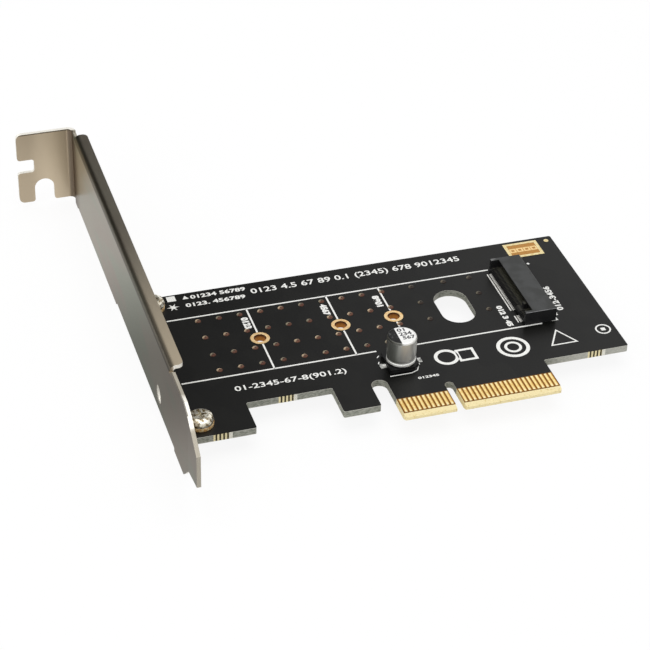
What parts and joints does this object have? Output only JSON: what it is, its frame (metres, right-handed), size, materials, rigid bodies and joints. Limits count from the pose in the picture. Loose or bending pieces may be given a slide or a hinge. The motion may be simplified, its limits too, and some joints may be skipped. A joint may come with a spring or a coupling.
{
  "type": "m.2 nvme to pci express x4 adapter card",
  "caption": "Adapter card with a full-height slot bracket, keyed card edge, M.2 module socket, capacitor and module fixing holes.",
  "frame": {"origin": "card-edge datum: middle of the key notch, at the contact edge's tip, on the board's middle plane", "axes": "+X along the contact edge away from the bracket, +Y from the contact edge to the board's back edge, +Z to the component side"},
  "size_m": [0.113, 0.1201, 0.0197],
  "materials": {
    "solder_mask": "black solder mask on glass-epoxy laminate",
    "gold": "gold-plated copper",
    "bracket_steel": "nickel-plated sheet steel, satin",
    "nickel": "bright nickel-plated steel",
    "washer_brass": "yellow-passivated spring steel",
    "socket_plastic": "moulded black plastic",
    "contact_metal": "tinned and gold-flashed spring contacts",
    "can_aluminium": "drawn aluminium can",
    "base_plastic": "moulded black plastic",
    "tin": "tinned lead and solder land"
  },
  "bodies": {
    "root": {"pcb": "solder_mask", "edge_contacts_component_side": "gold", "edge_contacts_solder_side": "gold", "module_eyelet_30": "gold", "module_eyelet_42": "gold", "module_eyelet_60": "gold", "module_eyelet_80": "gold", "gold_label_frame": "gold", "fiducial_pad": "gold", "slot_bracket": "bracket_steel", "bracket_screws": "nickel", "lock_washers": "washer_brass", "m2_socket_housing": "socket_plastic", "m2_contacts_lower": "contact_metal", "m2_contacts_upper": "contact_metal", "capacitor_can": "can_aluminium", "capacitor_base": "base_plastic", "capacitor_lead_negative": "tin", "capacitor_lead_positive": "tin", "capacitor_lands": "tin"}
  },
  "joints": []
}
